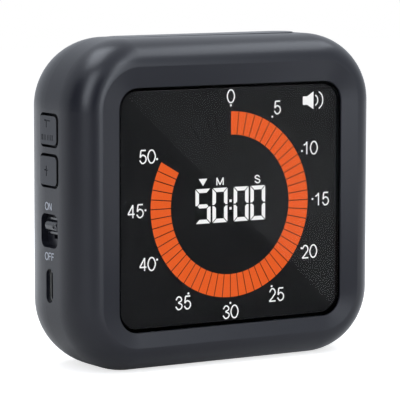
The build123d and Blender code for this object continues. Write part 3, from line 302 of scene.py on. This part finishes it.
def clear_acrylic():
    """Polished acrylic light guide with its fine dot pattern."""
    made, tree, shader, place = material("polished_acrylic")
    dots = add(tree, "TexVoronoi", Vector=place, Scale=1 / (1.2 * MM))
    vary_roughness(tree, shader, dots.outputs["Distance"], 0.3, 0.02)
    set_shader(shader, Transmission_Weight=1.0, IOR=1.49, Base_Color=linear("#F4F8F8"))
    return made


def laminated_foil():
    """Aluminium pouch laminate: soft metal with small creases."""
    made, tree, shader, place = material("pouch_laminate")
    creases = grain(tree, shader, place, size_mm=2.5, height_mm=0.08, detail=6.0)
    vary_roughness(tree, shader, creases, 0.28, 0.45)
    set_shader(shader, Base_Color=linear("#C9CBCE"), Metallic=1.0)
    return made


def amber_film():
    """Polyimide ribbon: amber, with the traces as darker stripes along it."""
    made, tree, shader, place = material("polyimide_amber")
    traces = add(tree, "TexWave", {"bands_direction": "X"}, Vector=place, Scale=1 / (2.2 * MM))
    stripe = traces.outputs["Fac"]
    mix = add(tree, "Mix", {"data_type": "RGBA"}, Factor=stripe, i6=linear("#B5651D"), i7=linear("#8A4512"))
    tree.links.new(mix.outputs[2], shader.inputs["Base Color"])
    set_shader(shader, Roughness=0.3)
    return made


def printed_ink(name, colour):
    """Pad-printed ink: flat colour, a little uneven where it took less."""
    made, tree, shader, place = material(name)
    took = add(tree, "TexNoise", Vector=place, Scale=1 / (0.3 * MM), Detail=3.0).outputs["Fac"]
    mix = add(tree, "Mix", {"data_type": "RGBA"}, Factor=took, i6=dimmed(colour, 0.8), i7=linear(colour))
    tree.links.new(mix.outputs[2], shader.inputs["Base Color"])
    set_shader(shader, Roughness=0.5)
    return made


def finishes():
    """Every finish by the nodes that wear it."""
    case_abs = satin_abs("satin_abs_case", "#16171E", "#1A1B22", 0.26, 0.34)
    key_abs = satin_abs("satin_abs_keys", "#1F2128", "#22242B", 0.36, 0.44)
    knob_abs = satin_abs("polished_abs_knob", "#191B20", "#1C1E24", 0.17, 0.23, specular=0.8)
    black_abs = plain_moulding("moulded_black_abs", "#141416", "#18181A", 0.5, 0.3, 0.01)
    tray = plain_moulding("moulded_white_pc", "#DADAD5", "#E4E4E0", 0.5, 0.3, 0.01)
    film = plain_moulding("reflector_film", "#ECECEA", "#F2F2F0", 0.45, 0.2, 0.003)
    foam = plain_moulding("closed_cell_foam", "#17171A", "#1D1D20", 0.85, 0.25, 0.05)
    silicone = plain_moulding("silicone_lead_red", "#8C1414", "#A01818", 0.45, 0.4, 0.01)
    chip = plain_moulding("epoxy_package", "#131315", "#19191B", 0.6, 0.15, 0.01)
    lacquer = plain_moulding("lacquered_steel", "#1A1A1B", "#202022", 0.35, 0.3, 0.005)
    tinned = drawn_steel("drawn_tinned_steel", "#D6D5D0", 0.45)
    zinc = drawn_steel("black_zinc_screw", "#55565A", 0.38)
    orange = lit_segment("segment_light_orange", "#E65E25", 1.0)
    white = lit_segment("segment_light_white", "#FAFAFA", 1.0)
    unlit = dark_segment()
    return {
        "front_housing": case_abs,
        "rear_cover": case_abs,
        "start_bar": case_abs,
        "edit_key": key_abs,
        "adjust_key": key_abs,
        "power_switch_knob": knob_abs,
        "front_window": coated_acrylic(),
        "lcd_cell": display_black(),
        "lcd_ring_lit": orange,
        "lcd_time_lit": white,
        "lcd_ring_unlit": unlit,
        "lcd_time_unlit": unlit,
        "window_tape": foam,
        "battery_tape": foam,
        "speaker_gasket": foam,
        "display_frame": tray,
        "light_reflector": film,
        "backlight_strip": film,
        "light_guide": clear_acrylic(),
        "lcd_flex": amber_film(),
        "lcd_flex_connector": black_abs,
        "power_switch_lever": black_abs,
        "start_bar_guide": black_abs,
        "usb_c_tongue": black_abs,
        "main_board": solder_mask(),
        "controller_chip": chip,
        "speaker": lacquer,
        "battery_cell": laminated_foil(),
        "battery_leads": silicone,
        "speaker_leads": silicone,
        "usb_c_shell": socket_steel(),
        "edit_tact_switch": tinned,
        "adjust_tact_switch": tinned,
        "start_tact_switch": tinned,
        "power_switch_case": tinned,
        "display_frame_screws": zinc,
        "main_board_screws": zinc,
        "start_bar_guide_screws": zinc,
        "rear_cover_screws": zinc,
    }


def wear(piece, finish):
    piece.data.materials.clear()
    piece.data.materials.append(finish)


FINISHES = finishes()
for node, finish in FINISHES.items():
    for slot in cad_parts[node].material_slots:
        slot.material = finish


# ------------------------------------------------------------------ strokes: numbers, letters and signs
def line(*points):
    """Straight runs, each a stroke of its own so that all keep their full width at the corners."""
    return [{"points": run, "handles": "VECTOR", "closed": False} for run in zip(points, points[1:])]


def bow(*points):
    return [{"points": points, "handles": "AUTO", "closed": False}]


def loop(*points):
    return [{"points": points, "handles": "AUTO", "closed": True}]


OVAL = loop((0.5, 1), (0.97, 0.74), (0.97, 0.26), (0.5, 0), (0.03, 0.26), (0.03, 0.74))
ARC = bow((0, 1), (0.72, 0.8), (1, 0.5), (0.72, 0.2), (0, 0))
UPRIGHT = line((0.5, 0), (0.5, 1))
LEVEL = line((0, 0.5), (1, 0.5))

# Centre lines of the strokes, in a box one wide and one tall.
GLYPHS = {
    "0": [OVAL],
    "1": [bow((0.15, 0.74), (0.48, 0.84), (0.66, 1)), line((0.66, 1), (0.66, 0))],
    "2": [bow((0.03, 0.74), (0.48, 1), (0.93, 0.72), (0.62, 0.38), (0, 0)), line((0, 0), (1, 0))],
    "3": [
        bow((0.04, 0.76), (0.47, 1), (0.9, 0.75), (0.4, 0.54)),
        bow((0.4, 0.54), (0.97, 0.28), (0.47, 0), (0, 0.24)),
    ],
    "4": [line((0.74, 0), (0.74, 1), (0, 0.29), (1, 0.29))],
    "5": [
        line((0.92, 1), (0.2, 1), (0.08, 0.47)),
        bow((0.08, 0.47), (0.5, 0.64), (0.98, 0.32), (0.48, 0), (0, 0.24)),
    ],
    "M": [line((0, 0), (0, 1), (0.5, 0.05), (1, 1), (1, 0))],
    "S": [bow((0.93, 0.76), (0.5, 1), (0.06, 0.76), (0.5, 0.52), (0.98, 0.25), (0.5, 0), (0, 0.26))],
    "O": [OVAL],
    "N": [line((0, 0), (0, 1), (1, 0), (1, 1))],
    "F": [line((0, 0), (0, 1), (1, 1)), line((0, 0.53), (0.85, 0.53))],
}
GLYPH_WIDTH = {"M": 1.0, "S": 0.85, "O": 0.82, "N": 0.72, "F": 0.65}
DIGIT_WIDTH = 0.63
GLYPH_SPACE = 0.07

# From strokes drawn flat to the timer's front, and to its left side.
TO_FRONT = Matrix.Rotation(math.pi / 2, 4, "X")
TO_LEFT = Matrix.Rotation(-math.pi / 2, 4, "Z") @ TO_FRONT


def select(*pieces):
    """These pieces and no other, the first one active."""
    bpy.ops.object.select_all(action="DESELECT")
    for piece in pieces:
        piece.select_set(True)
    bpy.context.view_layer.objects.active = pieces[0]


def join(pieces, name):
    select(*pieces)
    bpy.ops.object.join()
    joined = bpy.context.object
    joined.name = name
    bpy.ops.object.transform_apply(location=True, rotation=True, scale=True)
    return joined


def new_curve(name, stroke):
    """A curve whose strokes are round rods of one width."""
    bpy.ops.curve.primitive_bezier_curve_add()
    curve = bpy.context.object
    curve.name = name
    curve.data.splines.clear()
    curve.data.dimensions = "3D"
    curve.data.resolution_u = 8
    curve.data.bevel_depth = stroke / 2
    curve.data.bevel_resolution = 2
    curve.data.use_fill_caps = True
    return curve


def add_strokes(curve, strokes, x, z, width, height):
    """Strokes, from their unit box to a box with its lower left corner at (x, z)."""
    for stroke in strokes:
        spline = curve.data.splines.new("BEZIER")
        spline.bezier_points.add(len(stroke["points"]) - 1)
        for point, (u, v) in zip(spline.bezier_points, stroke["points"]):
            point.co = (x + u * width, z + v * height, 0)
            point.handle_left_type = stroke["handles"]
            point.handle_right_type = stroke["handles"]
        spline.use_cyclic_u = stroke["closed"]


def write(curve, text, x, z, height, stroke):
    """Text centred on (x, z), all in millimetres."""
    widths = [GLYPH_WIDTH.get(letter, DIGIT_WIDTH) * height for letter in text]
    space = GLYPH_SPACE * height
    left = x - (sum(widths) + space * (len(text) - 1)) / 2
    for letter, width in zip(text, widths):
        for part in GLYPHS[letter]:
            corner = (left + stroke / 2, z - height / 2 + stroke / 2)
            add_strokes(curve, part, *corner, width - stroke, height - stroke)
        left += width + space


def settle(curve, centre, turn, thickness):
    """Turn flat strokes in millimetres into a thin mesh in metres, on the face at centre."""
    flat = Matrix.Diagonal((1, 1, thickness / (2 * curve.data.bevel_depth), 1))
    select(curve)
    bpy.ops.object.convert(target="MESH")
    piece = bpy.context.object
    piece.matrix_world = Matrix.Translation(centre) @ turn @ Matrix.Scale(MM, 4) @ flat
    bpy.ops.object.transform_apply(location=True, rotation=True, scale=True)
    return piece


def plate(name, outline, centre, thickness):
    """Flat sign facing the front, from its outline in millimetres."""
    bpy.ops.mesh.primitive_circle_add(vertices=len(outline), radius=1, fill_type="NGON")
    piece = bpy.context.object
    piece.name = name
    for vertex, (x, z) in zip(piece.data.vertices, outline):
        vertex.co = centre + Vector((x * MM, thickness * MM / 2, z * MM))
    bpy.ops.object.mode_set(mode="EDIT")
    bpy.ops.mesh.select_all(action="SELECT")
    bpy.ops.mesh.extrude_region_move(TRANSFORM_OT_translate={"value": (0, -thickness * MM, 0)})
    bpy.ops.mesh.select_all(action="SELECT")
    bpy.ops.mesh.normals_make_consistent(inside=False)
    bpy.ops.object.mode_set(mode="OBJECT")
    return piece


# ------------------------------------------------------------------ printing on the display and the side
ring_low, ring_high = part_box("lcd_ring_lit")
RING_CENTRE = (ring_low + ring_high) / 2
RING_CENTRE.y = ring_low.y
MINUTES = range(0, 55, 5)
DEGREES_A_MINUTE = 6

knob_low, knob_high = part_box("power_switch_knob")
SIDE_LINE = Vector((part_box("front_housing")[0].x, (knob_low.y + knob_high.y) / 2, 0))


def dial_numbers():
    """0 to 50 round the ring, each above, below or beside its dot."""
    curve = new_curve("dial_numbers", NUMBER_STROKE)
    for minute in MINUTES:
        angle = math.radians(minute * DEGREES_A_MINUTE)
        x, z = DOT_RING_RADIUS * math.sin(angle), DOT_RING_RADIUS * math.cos(angle)
        if abs(math.cos(angle)) > abs(math.sin(angle)):
            x += NUMBER_LEAN * math.sin(angle)
            z += math.copysign(NUMBER_ABOVE, z)
        else:
            x += NUMBER_BESIDE * math.sin(angle) if x > 0 else -NUMBER_BESIDE
            z += NUMBER_LIFT * math.cos(angle) - NUMBER_DROP
        write(curve, str(minute), x, z, NUMBER_HEIGHT, NUMBER_STROKE)
    return settle(curve, RING_CENTRE, TO_FRONT, PRINT_THICKNESS)


def dial_dots():
    """One dot beside the ring for each number."""
    dots = []
    for minute in MINUTES:
        angle = math.radians(minute * DEGREES_A_MINUTE)
        place = Vector((math.sin(angle), 0, math.cos(angle))) * DOT_RING_RADIUS * MM
        bpy.ops.mesh.primitive_cylinder_add(
            vertices=DOT_SIDES, radius=DOT_RADIUS * MM, depth=PRINT_THICKNESS * MM,
            location=RING_CENTRE + place, rotation=(math.pi / 2, 0, 0),
        )
        dots.append(bpy.context.object)
    return join(dots, "dial_dots")


def time_letters():
    """M over the minutes and S over the seconds."""
    curve = new_curve("time_letters", LETTER_STROKE)
    write(curve, "M", LETTER_M_X, LETTER_Z, LETTER_HEIGHT, LETTER_STROKE)
    write(curve, "S", LETTER_S_X, LETTER_Z, LETTER_HEIGHT, LETTER_STROKE)
    return settle(curve, RING_CENTRE, TO_FRONT, PRINT_THICKNESS)


def countdown_mark():
    """Small triangle that points down: the time counts down."""
    half = MARK_WIDTH / 2
    top, tip = LETTER_Z + MARK_HEIGHT / 2, LETTER_Z - MARK_HEIGHT / 2
    outline = [(MARK_X - half, top), (MARK_X, tip), (MARK_X + half, top)]
    return plate("countdown_mark", outline, RING_CENTRE, PRINT_THICKNESS)


def sound_sign():
    """Loudspeaker with two arcs: the sound is on."""
    left, right = SOUND_X - SOUND_WIDTH / 2, SOUND_X + SOUND_WIDTH / 2
    neck = left + SOUND_WIDTH * SOUND_NECK
    narrow, wide = SOUND_HEIGHT * SOUND_NARROW, SOUND_HEIGHT / 2
    outline = [
        (left, SOUND_Z - narrow), (neck, SOUND_Z - narrow), (right, SOUND_Z - wide),
        (right, SOUND_Z + wide), (neck, SOUND_Z + narrow), (left, SOUND_Z + narrow),
    ]
    cone = plate("sound_cone", outline, RING_CENTRE, PRINT_THICKNESS)
    curve = new_curve("sound_arcs", ARC_STROKE)
    for away, width, height in ARCS:
        add_strokes(curve, ARC, right + away, SOUND_Z - height / 2, width, height)
    arcs = settle(curve, RING_CENTRE, TO_FRONT, PRINT_THICKNESS)
    return join([cone, arcs], "sound_sign")


def switch_letters():
    """ON above the slide switch and OFF below it."""
    curve = new_curve("switch_letters", SIDE_LETTER_STROKE)
    write(curve, "ON", ON_X, ON_Z, SIDE_LETTER_HEIGHT, SIDE_LETTER_STROKE)
    write(curve, "OFF", OFF_X, OFF_Z, SIDE_LETTER_HEIGHT, SIDE_LETTER_STROKE)
    return settle(curve, SIDE_LINE, TO_LEFT, PRINT_THICKNESS)


def place_prints():
    glow, ink = FINISHES["lcd_time_lit"], printed_ink("pad_print_grey", "#B4B8C2")
    for piece in (dial_numbers(), dial_dots(), time_letters(), countdown_mark(), sound_sign()):
        wear(piece, glow)
        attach(piece, "case")
    letters = switch_letters()
    wear(letters, ink)
    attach(letters, "case")


place_prints()

# ------------------------------------------------------------------ keys with their sunk marks
# Painted shade: the keys' side walls get a near-black, dull finish that stands in for the shade in the gap
# round each key.
SKIRT_PAINTED_SHADE = plain_moulding("key_skirt_painted_shade", "#0C0C0D", "#101011", 0.7, 0.3, 0.01)
set_shader(SKIRT_PAINTED_SHADE.node_tree.nodes["Principled BSDF"], Specular_IOR_Level=0.12)

# Each stroke with its lower left corner's x and z, its width and its height, in mm from the key's middle.
EDIT_MARK = [(UPRIGHT, -1.4, 0.7, 1.0, 1.9), (LEVEL, -1.9, 2.1, 3.0, 1.0)]
EDIT_MARK += [(UPRIGHT, x, -2.7, 1.0, 1.5) for x in (-3.9, -3.3, -2.1, -0.5, 0.7, 1.8)]
ADJUST_MARK = [(UPRIGHT, -1.45, -1.5, 1.0, 2.8), (LEVEL, -1.95, -0.35, 2.0, 1.0)]


def merged_copy(node, name):
    """Copy of a node's mesh with its loose triangles joined."""
    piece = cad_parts[node].copy()
    piece.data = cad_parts[node].data.copy()
    piece.name = name
    for key in list(piece.keys()):
        del piece[key]
    piece.parent = None
    bpy.context.scene.collection.objects.link(piece)
    select(piece)
    bpy.ops.object.mode_set(mode="EDIT")
    bpy.ops.mesh.select_all(action="SELECT")
    bpy.ops.mesh.remove_doubles(threshold=MERGE_DISTANCE)
    bpy.ops.object.mode_set(mode="OBJECT")
    return piece


def cut(piece, cutter):
    """Take the cutter's form out of the piece."""
    select(piece)
    difference = piece.modifiers.new("cut", "BOOLEAN")
    difference.operation = "DIFFERENCE"
    difference.solver = "EXACT"
    difference.use_self = True
    difference.object = cutter
    bpy.ops.object.modifier_apply(modifier=difference.name)
    bpy.data.objects.remove(cutter)


def engraved_key(node, strokes):
    """Side key with a mark pressed into its face, and its skirt painted near black as the shade in the gap
    round it.
    """
    low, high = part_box(node)
    middle = (low + high) / 2
    piece = merged_copy(node, node + "_marked")
    curve = new_curve("mark", KEY_MARK_STROKE)
    for stroke, x, z, width, height in strokes:
        add_strokes(curve, stroke, x, z, width, height)
    cutter = settle(curve, Vector((low.x, middle.y, middle.z)), TO_LEFT, 2 * KEY_MARK_DEPTH)
    cut(piece, cutter)
    bpy.ops.mesh.customdata_custom_splitnormals_clear()
    bpy.ops.object.shade_smooth_by_angle(angle=math.radians(KEY_SMOOTH_ANGLE))
    wear(piece, FINISHES[node])
    # The side walls wear the painted shade.
    piece.data.materials.append(SKIRT_PAINTED_SHADE)
    for polygon in piece.data.polygons:
        polygon.material_index = 0 if polygon.normal.x < KEY_FACE_NORMAL else 1
    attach(piece, node + "_body")
    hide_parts(node)


engraved_key("edit_key", EDIT_MARK)
engraved_key("adjust_key", ADJUST_MARK)


# ------------------------------------------------------------------ floor, room, lights and camera
def seen(tree, straight, mirrored, unseen):
    """One level seen straight or through glass, one in mirror reflections, and one as plain light."""
    path = add(tree, "LightPath").outputs
    through = path["Is Transmission Ray"]
    view = add(tree, "Math", {"operation": "MAXIMUM"}, i0=path["Is Camera Ray"], i1=through).outputs[0]
    mirror = add(tree, "MapRange", Value=path["Is Glossy Ray"], To_Min=unseen, To_Max=mirrored)
    level = add(tree, "Mix", {"data_type": "FLOAT"}, i0=view, i2=mirror.outputs["Result"], i3=straight)
    return level.outputs[0]


def cool_in_mirror(tree):
    """White, but the cool daylight of the softboxes in mirror reflections."""
    mirror = add(tree, "LightPath").outputs["Is Glossy Ray"]
    mix = add(tree, "Mix", {"data_type": "RGBA"}, Factor=mirror, i6=(1, 1, 1, 1), i7=(*DAYLIGHT, 1))
    return mix.outputs[2]


def floor():
    """White paper that glows a little where it is seen, so that it ends in plain white."""
    made, tree, shader, place = material("white_paper")
    mottle(tree, shader, place, "#D8D8D8", "#DCDCDC", size_mm=40.0)
    set_shader(shader, Roughness=0.9, Specular_IOR_Level=0.0)
    right, behind = [
        add(tree, "VectorMath", {"operation": "DOT_PRODUCT"}, i0=place, i1=side).outputs["Value"]
        for side in BRIGHT_SIDES
    ]
    away = add(tree, "Math", {"operation": "MAXIMUM"}, i0=right, i1=behind).outputs[0]
    mirrored = add(
        tree, "MapRange", Value=away, From_Min=GLOW_START, From_Max=GLOW_FULL, To_Max=FLOOR_MIRRORED
    ).outputs["Result"]
    tree.links.new(seen(tree, FLOOR_SEEN, mirrored, 0.0), shader.inputs["Emission Strength"])
    tree.links.new(cool_in_mirror(tree), shader.inputs["Emission Color"])
    bpy.ops.mesh.primitive_plane_add(size=FLOOR_SIZE, location=(0, 0, 0))
    piece = bpy.context.object
    piece.name = "floor"
    wear(piece, made)


def room():
    """White room: full white where it is seen, dimmer as light on the timer."""
    made = bpy.data.worlds.new("white_room")
    made.use_nodes = True
    tree = made.node_tree
    background = tree.nodes["Background"]
    tree.links.new(cool_in_mirror(tree), background.inputs["Color"])
    tree.links.new(seen(tree, ROOM_SEEN, ROOM_MIRRORED, ROOM_LIGHT), background.inputs["Strength"])
    bpy.context.scene.world = made


def at(azimuth, elevation, distance):
    """Place round the timer: azimuth 0 in front of it, 90 at its right side, all in degrees and metres."""
    a, e = math.radians(azimuth), math.radians(elevation)
    return Vector((math.sin(a) * math.cos(e), -math.cos(a) * math.cos(e), math.sin(e))) * distance


def softbox(name, azimuth, elevation, distance, size, radiance):
    """Rectangular softbox that looks at the timer."""
    place = at(azimuth, elevation, distance) + MIDDLE
    bpy.ops.object.light_add(type="AREA", location=place)
    light = bpy.context.object
    light.name = name
    light.data.shape = "RECTANGLE"
    light.data.size, light.data.size_y = size
    light.visible_camera = False
    light.data.color = DAYLIGHT
    light.data.energy = radiance * math.pi * size[0] * size[1]
    light.rotation_euler = (MIDDLE - place).to_track_quat("-Z", "Y").to_euler()


def black_flag(name, corners):
    """Black card seen in mirror reflections only: it gives case and display their dark bands."""
    made, tree, shader, place = material(name + "_card")
    mottle(tree, shader, place, "#050505", "#090909", size_mm=50.0)
    set_shader(shader, Roughness=1.0, Specular_IOR_Level=0.0)
    bpy.ops.mesh.primitive_circle_add(vertices=len(corners), radius=1, fill_type="NGON")
    piece = bpy.context.object
    piece.name = name
    for vertex, corner in zip(piece.data.vertices, corners):
        vertex.co = corner
    wear(piece, made)
    piece.visible_camera = False
    piece.visible_diffuse = False
    piece.visible_shadow = False


def standing_flag(name, azimuth, distance, width, height):
    """Upright black card that stands on the floor."""
    middle = at(azimuth, 0, distance)
    along = at(azimuth + 90, 0, width / 2)
    rise = Vector((0, 0, height))
    black_flag(name, [middle - along, middle + along, middle + along + rise, middle - along + rise])


def mirrored_in_window(across, up):
    """Place on the floor mirrored to the camera at this share of the window's width and height."""
    low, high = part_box("front_window")
    mirror_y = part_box("lcd_cell")[0].y
    eye = Vector(CAMERA_PLACE) * MM
    eye.y = 2 * mirror_y - eye.y
    spot = Vector((low.x + across * (high.x - low.x), mirror_y, low.z + up * (high.z - low.z)))
    place = eye + (spot - eye) * eye.z / (eye.z - spot.z)
    place.z = FLAG_LIFT
    return place


def floor_flag():
    """Card on the floor under the lower left half of the window's mirror image."""
    black_flag("floor_flag", [mirrored_in_window(*corner) for corner in ((0, 0), (1, 0), (0, 1))])


def camera():
    bpy.ops.object.camera_add(location=[c * MM for c in CAMERA_PLACE])
    made = bpy.context.object
    made.data.lens = CAMERA_LENS
    made.data.sensor_width = CAMERA_SENSOR
    made.data.clip_start = CAMERA_CLIP
    tilt = Matrix.Rotation(math.radians(90 - CAMERA_ELEVATION), 4, "X")
    turn = Matrix.Rotation(math.radians(CAMERA_AZIMUTH), 4, "Z")
    roll = Matrix.Rotation(math.radians(CAMERA_ROLL), 4, "Z")
    made.rotation_euler = (turn @ tilt @ roll).to_euler()
    bpy.context.scene.camera = made


floor()
room()
for name, settings in SOFTBOXES.items():
    softbox(name, *settings)
for name, settings in STANDING_FLAGS.items():
    standing_flag(name, *settings)
floor_flag()
camera()
bpy.context.scene.view_settings.view_transform = "Standard"
